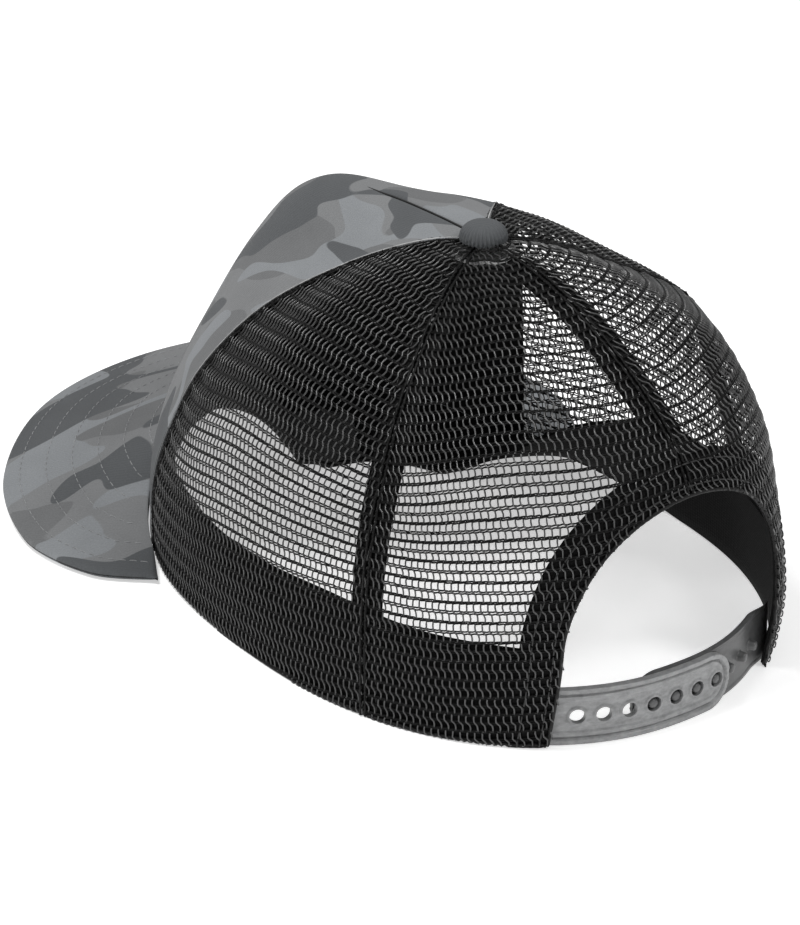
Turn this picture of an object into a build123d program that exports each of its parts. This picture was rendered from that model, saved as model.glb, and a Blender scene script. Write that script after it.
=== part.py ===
"""Trucker cap: camouflage front panel and visor, four mesh panels, snap closure.

Millimetres.  +Z is up, the visor points along -Y and the wearer's left is +X.  The origin is the
centre of the head opening, in the plane the rim rests on.

Azimuth is the angle round the rim: 0 at the front, +90 on the wearer's left, 180 at the back.
Climb runs from 0 at the rim to 1 at the top of the crown.
Depth is measured from the outside of the crown inwards.
"""
from build123d import *
import math
import os

# Rim, seen from above: a superellipse.
RIM_HALF_WIDTH = 76.5
RIM_HALF_LENGTH = 104.5
RIM_POWER = 2.3

# Top of the crown, where the five seams meet.
TOP_Y = 12.0
TOP_Z = 112.5

# Crown profiles.  Each row is one climb step, written as (reach, height): reach is the distance
# from the top axis as a share of the distance to the rim.  The crown is fuller on the wearer's
# right, as worn cloth is.
PROFILES = {
    -148: [(1.00, 0), (1.03, 23), (0.997, 51), (0.934, 73),
           (0.774, 93.5), (0.50, 106.5), (0.23, 111.5), (0, TOP_Z)],
    -116: [(1.00, 0), (0.972, 23.5), (0.926, 46.5), (0.856, 66),
           (0.742, 90.5), (0.48, 102.8), (0.217, 110.8), (0, TOP_Z)],
    -86: [(1.00, 0), (0.993, 24), (0.95, 47.5), (0.863, 70.3),
          (0.688, 90.4), (0.43, 105.5), (0.20, 111.6), (0, TOP_Z)],
    -57: [(1.02, 2), (1.008, 24), (0.949, 44.6), (0.843, 66),
          (0.66, 87.5), (0.423, 105.3), (0.196, 111.5), (0, TOP_Z)],
    -28: [(1.00, 13), (0.998, 37), (0.94, 59), (0.81, 77),
          (0.64, 92.2), (0.406, 107.6), (0.19, 111.8), (0, TOP_Z)],
    0: [(1.00, 20.5), (0.995, 43), (0.945, 67), (0.838, 89),
        (0.692, 104.3), (0.417, 109.8), (0.185, 112), (0, TOP_Z)],
    28: [(1.00, 20), (0.975, 40), (0.91, 58), (0.80, 76),
         (0.64, 91), (0.39, 104), (0.18, 110.4), (0, TOP_Z)],
    57: [(1.02, 4), (1.01, 24.5), (0.95, 44), (0.84, 65),
         (0.65, 85.5), (0.40, 101), (0.18, 109.8), (0, TOP_Z)],
    86: [(1.00, 0), (1.00, 24), (0.955, 47), (0.86, 69),
         (0.67, 89.5), (0.41, 104), (0.18, 110.6), (0, TOP_Z)],
    116: [(1.00, 0), (0.99, 24), (0.945, 46), (0.86, 64),
          (0.70, 83), (0.45, 99.5), (0.20, 109.5), (0, TOP_Z)],
    148: [(1.00, 0), (1.05, 26), (1.045, 50), (0.96, 73),
          (0.77, 92), (0.49, 105), (0.22, 110.8), (0, TOP_Z)],
    180: [(1.00, 0), (1.03, 26), (1.045, 50), (1.00, 73),
          (0.82, 90), (0.52, 104.5), (0.24, 111), (0, TOP_Z)],
}

# Seams, as azimuths.
FRONT_SEAM = 57.0
SIDE_SEAM = 116.0
REAR_SEAM = 180.0

# Cloth layers: depth of the outer face, then thickness.
PANEL = (0.0, 1.0)
LINING = (1.1, 0.9)
PANEL_TAPE = (1.1, 0.8)
LINING_TAPE = (2.1, 0.7)
SWEATBAND = (3.0, 1.2)
LABEL = (4.3, 0.5)

PANEL_GAP = 0.3            # between the edges of neighbouring panels
TOP_HOLE_RADIUS = 6.0      # all panels stop here, under the button
TAPE_END_RADIUS = 16.0     # tapes stop here, where they would run into each other
SEAM_TAPE_WIDTH = 11.0
LINING_AZIMUTH = 53.0      # half spread of the stiff front lining
DART_START_CLIMB = 0.60

# Sweatband and its plain label.
SWEATBAND_HEIGHT = 32.0
SWEATBAND_LIFT = 0.8       # bottom edge above the rim
HEM_LIFT = 0.6             # bottom edge of the inner tapes above the rim plane
SWEATBAND_END = 148.0      # azimuth of each end
LABEL_WIDTH_ANGLE = 11.0
LABEL_HEIGHTS = (6.0, 24.0)

# Opening at the back, an arch seen along Y.
ARCH_HALF_WIDTH = 38.0
ARCH_TOP = 70.0
BINDING_WIDTH = 12.5
BINDING_SPREAD = 52.0      # azimuth each side of the back that the binding is cut from
BINDING_TOP_CLIMB = 0.71
REAR_TAPE_START = 0.3      # climb, hidden behind the binding
TAPE_GAP = 0.3             # between the binding and the tape above it

# Visor.
VISOR_HALF_OUTLINE = [(0, -171), (46, -160), (81, -127), (94.5, -91), (89.5, -62.5), (75, -47)]
VISOR_TIP_HEIGHT = 5.2
VISOR_FLAT_Y = -90.0       # behind this the visor edge runs level with the rim
VISOR_ROOT_AZIMUTH = 61.0
VISOR_LIFT = 2.4           # top of the visor above the bottom edge of the front panel
VISOR_CLEARANCE = 0.45     # between the visor and the front panel
VISOR_CLOTH = 0.6
VISOR_FLOOR_GAP = 0.2      # under the lowest edge of the visor
VISOR_BOARD = 1.8
VISOR_LAYER_GAP = 0.14     # upright gap that keeps sloping layers apart

# Button.
BUTTON_RADIUS = 6.9
BUTTON_HEIGHT = 4.6
BUTTON_CLOTH = 0.8
BUTTON_SEAT = 0.15         # above the highest panel edge
WASHER_RADIUS = 9.0
WASHER_THICKNESS = 1.2
WASHER_DROP = 4.1          # middle of the washer below the top of the crown
POST_RADIUS = 2.2

# Snap closure.
STRAP_BOTTOM = 0.2
STRAP_TOP = 17.2
STRAP_BOW = 1.8            # how far the snapped straps bow out at the middle of the back
STRAP_BOW_SPREAD = 30.0    # azimuth on each side over which the bow fades out
STRAP_THICKNESS = 1.4
HOLES_DEPTH = 2.1          # outside face of the strap with the holes
PEGS_DEPTH = 3.9           # outside face of the strap with the pegs
PEG_ROOT = 0.3             # how far each peg is sunk into its strap
LIP_THICKNESS = 0.7
LIP_START_AZIMUTH = 156.0  # where the raised lip begins, clear of the sewn end
LIP_WIDTH = 1.3
LIP_HEIGHT = 0.5
SNAP_COUNT = 7
SNAP_PITCH = 7.4
FIRST_SNAP_X = 31.2        # hole nearest the wearer's left
FREE_PEGS = 3              # pegs left over beyond the end of the strap with the holes
HOLE_RADIUS = 2.2
PEG_RADIUS = 1.5
PEG_TIP_RADIUS = 1.2
PEG_LENGTH = 2.3
HOLES_END_MARGIN = 5.2     # from the last hole to the rounded end
PEGS_END_MARGIN = 5.6      # from the last peg to the free end
STRAP_ROOT_AZIMUTH = 149.0
HINGE_X = 21.2             # bend of the strap with the holes, between its second and third holes
PEG_HINGE_X = -36.6        # bend of the strap with the pegs, beside its sewn end
HINGE_GAP = 0.35
LIP_GAP = 2.6              # the raised lip stops this far from the bend
ROUNDED_END_RADIUS = 8.0

GRID_STEPS = 32            # sample rows and columns of each curved face


# ---------------------------------------------------------------- curves and points

def smooth(knots, rows, at):
    """Read a smooth curve that passes through rows[i] at knots[i]."""
    span = 0
    while span < len(knots) - 2 and at > knots[span + 1]:
        span += 1

    def slope(i):
        low, high = max(i - 1, 0), min(i + 1, len(knots) - 1)
        return [(b - a) / (knots[high] - knots[low]) for a, b in zip(rows[low], rows[high])]

    length = knots[span + 1] - knots[span]
    t = (at - knots[span]) / length
    start, end = rows[span], rows[span + 1]
    result = []
    for a, b, slope_a, slope_b in zip(start, end, slope(span), slope(span + 1)):
        value = (2 * t**3 - 3 * t**2 + 1) * a + (3 * t**2 - 2 * t**3) * b
        value += length * ((t**3 - 2 * t**2 + t) * slope_a + (t**3 - t**2) * slope_b)
        result.append(value)
    return result


def profile_table():
    """Profiles repeated past the back on both sides, so that the crown closes smoothly."""
    angles = sorted(PROFILES)
    keys = angles[-2:] + angles + angles[:1]
    knots = [angle - 360 for angle in angles[-2:]] + angles + [angles[0] + 360]
    rows = [[number for pair in PROFILES[key] for number in pair] for key in keys]
    return knots, rows


PROFILE_ANGLES, PROFILE_ROWS = profile_table()
CLIMB_ROWS = len(PROFILES[0])
CLIMB_STEPS = [i / (CLIMB_ROWS - 1) for i in range(CLIMB_ROWS)]


def rim_plan(azimuth):
    """Point of the rim seen from above."""
    side = math.sin(math.radians(azimuth))
    front = math.cos(math.radians(azimuth))
    x = RIM_HALF_WIDTH * math.copysign(abs(side) ** (2 / RIM_POWER), side)
    y = -RIM_HALF_LENGTH * math.copysign(abs(front) ** (2 / RIM_POWER), front)
    return Vector(x, y)


def crown_outside(azimuth, climb):
    """Point on the outside of the crown."""
    wrapped = (azimuth + 180) % 360 - 180
    flat = smooth(PROFILE_ANGLES, PROFILE_ROWS, wrapped)
    pairs = [flat[i:i + 2] for i in range(0, len(flat), 2)]
    reach, height = smooth(CLIMB_STEPS, pairs, climb)
    rim = rim_plan(azimuth)
    return Vector(reach * rim.X, TOP_Y + reach * (rim.Y - TOP_Y), height)


def crown_point(azimuth, climb, depth):
    """Point at a depth inside the crown, measured square to its outside."""
    turn, rise = 0.5, 0.01
    along = crown_outside(azimuth + turn, climb) - crown_outside(azimuth - turn, climb)
    up = crown_outside(azimuth, climb + rise) - crown_outside(azimuth, climb - rise)
    inward = up.cross(along).normalized()
    return crown_outside(azimuth, climb) + inward * depth


def climb_at_height(azimuth, height):
    """Climb at which the crown is this far above its own rim."""
    rim = crown_outside(azimuth, 0).Z
    low, high = 0.0, 0.7
    for _ in range(24):
        middle = (low + high) / 2
        if crown_outside(azimuth, middle).Z - rim < height:
            low = middle
        else:
            high = middle
    return low


def climb_at_radius(azimuth, radius):
    """Climb at which the crown is this far from its top axis."""
    low, high = 0.6, 1.0
    for _ in range(24):
        middle = (low + high) / 2
        point = crown_outside(azimuth, middle)
        if math.hypot(point.X, point.Y - TOP_Y) > radius:
            low = middle
        else:
            high = middle
    return low


def degrees_for(azimuth, climb, distance):
    """Azimuth step that covers a distance along the crown."""
    step = crown_outside(azimuth + 1, climb) - crown_outside(azimuth - 1, climb)
    return 2 * distance / step.length


# ---------------------------------------------------------------- crown pieces

def crown_sheet(place, layer, rows=GRID_STEPS, columns=GRID_STEPS):
    """Sheet inside the crown.  place(u, v) gives azimuth and climb for u and v from 0 to 1."""
    depth, thickness = layer
    grid = []
    for row in range(rows + 1):
        places = [place(column / columns, row / rows) for column in range(columns + 1)]
        grid.append([crown_point(azimuth, climb, depth) for azimuth, climb in places])
    face = Face.make_surface_from_array_of_points(grid, tol=0.02, min_deg=3, max_deg=5)
    middle = face.position_at(0.5, 0.5)
    centre = Vector(0, TOP_Y, 30)
    return Solid.thicken(face, thickness, normal_override=centre - middle)


def above_floor(solid, lift=0.0):
    """Trim a piece level with the rim plane, where the cap rests, or just above it."""
    return solid & Pos(0, 0, 150 + lift) * Box(400, 400, 300)


def panel(start, end):
    """Cloth panel between two seams, trimmed to leave the seam gap."""
    def place(u, v):
        top = climb_at_radius((start + end) / 2, TOP_HOLE_RADIUS)
        bottom = 0.0 if abs(start) <= FRONT_SEAM and abs(end) <= FRONT_SEAM else -0.01
        climb = bottom + v * (top - bottom)
        step = degrees_for(start + u * (end - start), climb, PANEL_GAP / 2)
        azimuth = start + step + u * (end - start - 2 * step)
        return azimuth, climb
    return crown_sheet(place, PANEL)


def seam_tape(azimuth, layer, start_climb=0.0, width=SEAM_TAPE_WIDTH):
    """Tape sewn along the inside of a seam."""
    def place(u, v):
        top = climb_at_radius(azimuth, TAPE_END_RADIUS)
        climb = start_climb + v * (top - start_climb)
        return azimuth + (2 * u - 1) * degrees_for(azimuth, climb, width / 2), climb
    return crown_sheet(place, layer, columns=6)


def front_lining():
    """Stiff lining behind the front panel."""
    def place(u, v):
        top = climb_at_radius(0, TAPE_END_RADIUS)
        return LINING_AZIMUTH * (2 * u - 1), 0.01 + v * (top - 0.01)
    return crown_sheet(place, LINING)


def band_sheet(end_azimuth, heights, layer, columns):
    """Sheet that follows the rim between two heights above it."""
    def place(u, v):
        azimuth = end_azimuth * (2 * u - 1)
        height = heights[0] + v * (heights[1] - heights[0])
        return azimuth, climb_at_height(azimuth, height)
    return crown_sheet(place, layer, rows=6, columns=columns)


def arch_prism(grow):
    """Upright arch, as wide and as high as the rear opening plus a margin."""
    half = ARCH_HALF_WIDTH + grow
    spring = ARCH_TOP - ARCH_HALF_WIDTH
    outline = Rectangle(2 * half, spring + 20, align=(Align.CENTER, Align.MAX))
    outline = Pos(0, spring) * (outline + Circle(half))
    upright = Plane(origin=(0, 40, 0), x_dir=(-1, 0, 0), z_dir=(0, 1, 0))
    return extrude(upright * outline, amount=100)


def rear_panel(start, end):
    """Mesh panel beside the rear seam, cut away by the arch."""
    return above_floor(panel(start, end)) - arch_prism(0)


def arch_binding():
    """Tape that lines the edge of the rear opening."""
    def place(u, v):
        return REAR_SEAM + (2 * u - 1) * BINDING_SPREAD, -0.01 + v * (BINDING_TOP_CLIMB + 0.01)
    sheet = above_floor(crown_sheet(place, PANEL_TAPE, columns=36), HEM_LIFT)
    return (sheet & arch_prism(BINDING_WIDTH)) - arch_prism(0)


def side_tape(azimuth):
    """The side tapes start just above the rim plane."""
    return above_floor(seam_tape(azimuth, PANEL_TAPE, start_climb=-0.01), HEM_LIFT)


def rear_tape():
    """Short tape above the arch, stopped at the arch binding."""
    tape = seam_tape(REAR_SEAM, PANEL_TAPE, start_climb=REAR_TAPE_START)
    return tape - arch_prism(BINDING_WIDTH + TAPE_GAP)


# ---------------------------------------------------------------- visor

def visor_edge_height(y):
    """Height of the outer edge, rising from the rim plane towards the tip."""
    tip_y = VISOR_HALF_OUTLINE[0][1]
    share = (VISOR_FLAT_Y - y) / (VISOR_FLAT_Y - tip_y)
    return VISOR_TIP_HEIGHT * max(share, 0.0)


def visor_face(drop):
    """Ruled face from the rim to the outer edge, lowered by a distance."""
    base = VISOR_CLOTH * 2 + VISOR_BOARD + VISOR_LAYER_GAP * 3 + VISOR_FLOOR_GAP
    inner = []
    for step in range(-10, 11):
        azimuth = VISOR_ROOT_AZIMUTH * step / 10
        point = crown_point(azimuth, 0.0, -VISOR_CLEARANCE)
        inner.append(Vector(point.X, point.Y, max(point.Z + VISOR_LIFT, base) - drop))
    half = [Vector(x, y, visor_edge_height(y) + base - drop) for x, y in VISOR_HALF_OUTLINE]
    outer = [Vector(-p.X, p.Y, p.Z) for p in reversed(half[1:])] + half
    return Face.make_surface_from_curves(Edge.make_spline(inner), Edge.make_spline(outer))


def visor_layer(drop, thickness):
    """One layer of the visor, its upper face at a drop below the top."""
    return Solid.thicken(visor_face(drop), thickness, normal_override=Vector(0, 0, -1))


def visor_board_drop():
    return VISOR_CLOTH + VISOR_LAYER_GAP


def visor_under_drop():
    return visor_board_drop() + VISOR_BOARD + 2 * VISOR_LAYER_GAP


# ---------------------------------------------------------------- button

def dome(radius, height):
    """Shallow dome standing on the plane z = 0."""
    ball_radius = (radius**2 + height**2) / (2 * height)
    ball = Pos(0, 0, height - ball_radius) * Sphere(ball_radius)
    return ball & Cylinder(radius, height, align=(Align.CENTER, Align.CENTER, Align.MIN))


def button_base():
    """Where the button stands."""
    return Pos(0, TOP_Y, TOP_Z + BUTTON_SEAT)


def button_cover():
    """Cloth over the button."""
    inner = dome(BUTTON_RADIUS - BUTTON_CLOTH, BUTTON_HEIGHT - BUTTON_CLOTH)
    return button_base() * (dome(BUTTON_RADIUS, BUTTON_HEIGHT) - inner)


def button_shell():
    """Metal core of the button, with the post that goes through the crown."""
    core = dome(BUTTON_RADIUS - BUTTON_CLOTH - 0.05, BUTTON_HEIGHT - BUTTON_CLOTH - 0.05)
    post = Cylinder(POST_RADIUS, 5, align=(Align.CENTER, Align.CENTER, Align.MAX))
    return button_base() * (core + post)


def button_washer():
    """Washer that holds the post inside the crown."""
    disc = Cylinder(WASHER_RADIUS, WASHER_THICKNESS) - Cylinder(POST_RADIUS + 0.05, 5)
    return Pos(0, TOP_Y, TOP_Z - WASHER_DROP) * disc


# ---------------------------------------------------------------- snap closure

def rim_inset(azimuth, inset):
    """Point of the rim seen from above, moved inwards square to the rim."""
    along = rim_plan(azimuth + 0.5) - rim_plan(azimuth - 0.5)
    inward = Vector(-along.Y, along.X).normalized()
    return rim_plan(azimuth) + inward * inset


def strap_plan(azimuth, inset):
    """Point of a strap seen from above: the rim moved inwards, with the strap's own bow."""
    share = min(abs(azimuth % 360 - 180) / STRAP_BOW_SPREAD, 1.0)
    return rim_inset(azimuth, inset - STRAP_BOW * math.cos(share * math.pi / 2) ** 2)


def azimuth_at_x(x):
    """Azimuth at the back of the rim for a sideways position."""
    share = (abs(x) / RIM_HALF_WIDTH) ** (RIM_POWER / 2)
    return math.copysign(180 - math.degrees(math.asin(share)), x) % 360


def strap_wall(start, end, inset, thickness, bottom, top):
    """Upright wall that follows the back of the rim between two azimuths."""
    steps = [start + (end - start) * i / 12 for i in range(13)]
    outer = Edge.make_spline([strap_plan(a, inset) for a in steps])
    inner = Edge.make_spline([strap_plan(a, inset + thickness) for a in steps])
    first = Edge.make_line(outer @ 0, inner @ 0)
    last = Edge.make_line(outer @ 1, inner @ 1)
    floor = Face(Wire([outer, last, inner, first]))
    return Pos(0, 0, bottom) * extrude(floor, amount=top - bottom, dir=(0, 0, 1))


def rounded_end_cutter(azimuth, toward, radius):
    """What to cut from a strap so that it ends in a half round, seen from behind."""
    x = rim_plan(azimuth).X
    height = STRAP_TOP - STRAP_BOTTOM
    block = Pos(x, 95, STRAP_BOTTOM + height / 2) * Box(40, 60, height + 2)
    keep = Pos(x + toward * (20 + radius), 95, STRAP_BOTTOM + height / 2)
    keep = keep * Box(40, 62, height + 4)
    round_part = Pos(x + toward * radius, 95, STRAP_BOTTOM + height / 2)
    round_part = round_part * Rot(90, 0, 0) * Cylinder(height / 2, 62)
    return block - keep - round_part


def step_along(azimuth, distance):
    """Azimuth reached after a distance along the strap, towards the wearer's right."""
    steps = 20
    for _ in range(steps):
        ahead = strap_plan(azimuth + 0.1, HOLES_DEPTH) - strap_plan(azimuth - 0.1, HOLES_DEPTH)
        azimuth += 0.2 * distance / steps / ahead.length
    return azimuth


def snap_azimuth(number):
    """Azimuth of a hole, counted from the wearer's left."""
    return step_along(azimuth_at_x(FIRST_SNAP_X), number * SNAP_PITCH)


def hole_azimuths():
    return [snap_azimuth(number) for number in range(SNAP_COUNT)]


def peg_azimuths():
    """The last pegs lie beyond the end of the strap with the holes."""
    return [snap_azimuth(number + FREE_PEGS) for number in range(SNAP_COUNT)]


def radial_plane(azimuth, inset):
    """Plane on the strap, half way up, facing outwards."""
    point = strap_plan(azimuth, inset)
    along = strap_plan(azimuth + 0.5, inset) - strap_plan(azimuth - 0.5, inset)
    outward = Vector(along.Y, -along.X)
    middle = (STRAP_BOTTOM + STRAP_TOP) / 2
    return Plane(origin=(point.X, point.Y, middle), z_dir=(outward.X, outward.Y, 0))


def hinge_axis(x, depth):
    """Where a strap bends, seen from above."""
    return strap_plan(azimuth_at_x(x), depth + STRAP_THICKNESS / 2)


def knuckle(x, depth, radius):
    """Upright rod on the bend of a strap."""
    centre = hinge_axis(x, depth)
    return Pos(centre.X, centre.Y, 10) * Cylinder(radius, 40)


def strap_with_holes():
    """Whole strap with the holes, before it is cut at its bend."""
    end = step_along(hole_azimuths()[-1], HOLES_END_MARGIN)
    strap = strap_wall(STRAP_ROOT_AZIMUTH, end, HOLES_DEPTH, STRAP_THICKNESS, STRAP_BOTTOM, STRAP_TOP)
    lip = strap_wall(LIP_START_AZIMUTH, end, HOLES_DEPTH - LIP_HEIGHT, LIP_THICKNESS,
                     STRAP_BOTTOM, STRAP_TOP)
    window = strap_wall(LIP_START_AZIMUTH - 3, end + 5, HOLES_DEPTH - 2, 2 + LIP_HEIGHT,
                        STRAP_BOTTOM + LIP_WIDTH, STRAP_TOP - LIP_WIDTH)
    inner_end = azimuth_at_x(rim_plan(end).X + LIP_WIDTH)
    window = window - rounded_end_cutter(inner_end, 1, ROUNDED_END_RADIUS - LIP_WIDTH)
    lip = lip - window - knuckle(HINGE_X, HOLES_DEPTH, LIP_GAP)
    strap = strap + lip
    strap = strap - rounded_end_cutter(end, 1, ROUNDED_END_RADIUS)
    for azimuth in hole_azimuths():
        strap = strap - radial_plane(azimuth, HOLES_DEPTH) * Cylinder(HOLE_RADIUS, 12)
    return strap


def strap_with_pegs():
    """Whole strap with the pegs, before it is cut at its bend."""
    root = 360 - STRAP_ROOT_AZIMUTH
    free = step_along(peg_azimuths()[0], -PEGS_END_MARGIN)
    strap = strap_wall(free, root, PEGS_DEPTH, STRAP_THICKNESS, STRAP_BOTTOM, STRAP_TOP)
    for azimuth in peg_azimuths():
        peg = Cone(PEG_RADIUS, PEG_TIP_RADIUS, PEG_LENGTH + PEG_ROOT,
                   align=(Align.CENTER, Align.CENTER, Align.MIN))
        strap = strap + radial_plane(azimuth, PEGS_DEPTH + PEG_ROOT) * peg
    return strap


def split_at_bend(strap, x, depth, tongue_side):
    """Cut a strap at its bend into its sewn root and its free tongue."""
    azimuth = azimuth_at_x(x)
    along = strap_plan(azimuth - 0.5, depth) - strap_plan(azimuth + 0.5, depth)
    frame = Plane(origin=hinge_axis(x, depth), x_dir=along, z_dir=(0, 0, 1))
    beyond = frame * Pos(tongue_side * 60, 0, 10) * Box(120, 80, 60)
    tongue = strap & (beyond + knuckle(x, depth, STRAP_THICKNESS / 2))
    root = strap - beyond - knuckle(x, depth, STRAP_THICKNESS / 2 + HINGE_GAP)
    return root, tongue


# ---------------------------------------------------------------- whole cap

def cap_parts():
    """Every piece of the cap, by node name."""
    parts = {
        "front_panel": panel(-FRONT_SEAM, FRONT_SEAM),
        "front_lining": front_lining(),
        "dart_tape": seam_tape(0, LINING_TAPE, start_climb=DART_START_CLIMB, width=8),
        "sweatband": band_sheet(SWEATBAND_END, (SWEATBAND_LIFT, SWEATBAND_HEIGHT), SWEATBAND, 60),
        "size_label": band_sheet(LABEL_WIDTH_ANGLE, LABEL_HEIGHTS, LABEL, 6),
        "rear_seam_tape": rear_tape(),
        "arch_binding": arch_binding(),
        "button_cover": button_cover(),
        "button_shell": button_shell(),
        "button_washer": button_washer(),
        "visor_top_fabric": visor_layer(0, VISOR_CLOTH),
        "visor_board": visor_layer(visor_board_drop(), VISOR_BOARD),
        "visor_under_fabric": visor_layer(visor_under_drop(), VISOR_CLOTH),
    }
    for side, sign in (("left", 1), ("right", -1)):
        parts[f"side_mesh_{side}"] = above_floor(panel(*sorted((sign * FRONT_SEAM, sign * SIDE_SEAM))))
        parts[f"rear_mesh_{side}"] = rear_panel(*sorted((sign * SIDE_SEAM, sign * REAR_SEAM)))
        parts[f"front_seam_tape_{side}"] = seam_tape(sign * FRONT_SEAM, LINING_TAPE)
        parts[f"side_seam_tape_{side}"] = side_tape(sign * SIDE_SEAM)
    roots = split_at_bend(strap_with_holes(), HINGE_X, HOLES_DEPTH, -1)
    parts["strap_holes_root"], parts["strap_holes_tongue"] = roots
    roots = split_at_bend(strap_with_pegs(), PEG_HINGE_X, PEGS_DEPTH, 1)
    parts["strap_pegs_root"], parts["strap_pegs_tongue"] = roots
    return parts


os.makedirs("parts", exist_ok=True)
for name, shape in cap_parts().items():
    export_step(shape, f"parts/{name}.step")
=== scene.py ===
"""Trucker cap: camouflage front and visor, black netting, snap closure.

Lengths in this script are millimetres in the CAD frame (+Z up, visor along -Y, wearer's left +X)
and become metres where meshes are made.  Azimuth is the angle round the rim, 0 at the front and
+90 on the wearer's left; climb runs from 0 at the rim to 1 at the top; depth is measured inwards.
"""
import math

import bpy
import numpy as np
from mathutils import Matrix, Vector


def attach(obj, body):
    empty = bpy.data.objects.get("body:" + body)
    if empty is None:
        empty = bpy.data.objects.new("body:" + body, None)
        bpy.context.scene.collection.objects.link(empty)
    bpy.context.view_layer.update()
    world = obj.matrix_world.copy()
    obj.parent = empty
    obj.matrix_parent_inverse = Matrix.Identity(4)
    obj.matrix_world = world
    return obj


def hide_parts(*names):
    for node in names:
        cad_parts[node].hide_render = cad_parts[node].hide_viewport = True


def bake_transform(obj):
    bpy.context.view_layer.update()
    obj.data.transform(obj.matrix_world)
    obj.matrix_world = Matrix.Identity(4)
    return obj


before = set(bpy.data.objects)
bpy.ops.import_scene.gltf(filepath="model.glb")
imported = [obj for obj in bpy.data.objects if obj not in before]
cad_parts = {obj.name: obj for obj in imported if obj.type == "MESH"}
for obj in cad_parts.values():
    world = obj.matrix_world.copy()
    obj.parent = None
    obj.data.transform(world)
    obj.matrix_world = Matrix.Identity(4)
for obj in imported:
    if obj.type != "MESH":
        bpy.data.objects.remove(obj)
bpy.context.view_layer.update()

MM = 0.001

# Crown, as in the CAD.
RIM_HALF_WIDTH = 76.5
RIM_HALF_LENGTH = 104.5
RIM_POWER = 2.3
TOP_Y = 12.0
TOP_Z = 112.5
# (reach, height) rows by azimuth: reach is the distance from the top axis as a share of the rim's.
PROFILES = {
    -148: [(1.00, 0), (1.03, 23), (0.997, 51), (0.934, 73),
           (0.774, 93.5), (0.50, 106.5), (0.23, 111.5), (0, TOP_Z)],
    -116: [(1.00, 0), (0.972, 23.5), (0.926, 46.5), (0.856, 66),
           (0.742, 90.5), (0.48, 102.8), (0.217, 110.8), (0, TOP_Z)],
    -86: [(1.00, 0), (0.993, 24), (0.95, 47.5), (0.863, 70.3),
          (0.688, 90.4), (0.43, 105.5), (0.20, 111.6), (0, TOP_Z)],
    -57: [(1.02, 2), (1.008, 24), (0.949, 44.6), (0.843, 66),
          (0.66, 87.5), (0.423, 105.3), (0.196, 111.5), (0, TOP_Z)],
    -28: [(1.00, 13), (0.998, 37), (0.94, 59), (0.81, 77),
          (0.64, 92.2), (0.406, 107.6), (0.19, 111.8), (0, TOP_Z)],
    0: [(1.00, 20.5), (0.995, 43), (0.945, 67), (0.838, 89),
        (0.692, 104.3), (0.417, 109.8), (0.185, 112), (0, TOP_Z)],
    28: [(1.00, 20), (0.975, 40), (0.91, 58), (0.80, 76),
         (0.64, 91), (0.39, 104), (0.18, 110.4), (0, TOP_Z)],
    57: [(1.02, 4), (1.01, 24.5), (0.95, 44), (0.84, 65),
         (0.65, 85.5), (0.40, 101), (0.18, 109.8), (0, TOP_Z)],
    86: [(1.00, 0), (1.00, 24), (0.955, 47), (0.86, 69),
         (0.67, 89.5), (0.41, 104), (0.18, 110.6), (0, TOP_Z)],
    116: [(1.00, 0), (0.99, 24), (0.945, 46), (0.86, 64),
          (0.70, 83), (0.45, 99.5), (0.20, 109.5), (0, TOP_Z)],
    148: [(1.00, 0), (1.05, 26), (1.045, 50), (0.96, 73),
          (0.77, 92), (0.49, 105), (0.22, 110.8), (0, TOP_Z)],
    180: [(1.00, 0), (1.03, 26), (1.045, 50), (1.00, 73),
          (0.82, 90), (0.52, 104.5), (0.24, 111), (0, TOP_Z)],
}
FRONT_SEAM = 57.0
SIDE_SEAM = 116.0

ARCH_HALF_WIDTH = 38.0
ARCH_SPRING = 32.0
BINDING_WIDTH = 12.5

# Camera.
CAMERA_AZIMUTH = 144.1
CAMERA_ELEVATION = 28.4
CAMERA_DISTANCE = 1.1078
CAMERA_LENS = 146.05
CAMERA_YAW = 0.0156
CAMERA_PITCH = 0.0300

# Light.  The floor is a lit table, so it stays pale under the cap.
WORLD_LIGHT = 0.42
FLOOR_GLOW = 0.48
FLOOR_REACH = 6            # metres each way
LIGHT_AIM = (0, 0, 0.05)

RANDOM = np.random.default_rng(7)


# ---------------------------------------------------------------- camera, light, floor

def make_camera():
    data = bpy.data.cameras.new("camera")
    data.lens = CAMERA_LENS
    data.clip_end = 20
    camera = bpy.data.objects.new("camera", data)
    bpy.context.scene.collection.objects.link(camera)
    tilt = Matrix.Rotation(math.radians(90 - CAMERA_ELEVATION), 4, "X")
    turn = Matrix.Rotation(math.radians(CAMERA_AZIMUTH), 4, "Z")
    facing = turn @ tilt
    aim = Matrix.Rotation(CAMERA_YAW, 4, "Y") @ Matrix.Rotation(CAMERA_PITCH, 4, "X")
    place = Matrix.Translation(facing.to_3x3() @ Vector((0, 0, CAMERA_DISTANCE)))
    camera.matrix_world = place @ facing @ aim
    bpy.context.scene.camera = camera


def make_light(name, place, size, power):
    data = bpy.data.lights.new(name, "AREA")
    data.shape = "DISK"
    data.size = size
    data.energy = power
    light = bpy.data.objects.new(name, data)
    bpy.context.scene.collection.objects.link(light)
    light.location = place
    light.rotation_euler = (Vector(place) - Vector(LIGHT_AIM)).to_track_quat("Z", "Y").to_euler()


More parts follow.
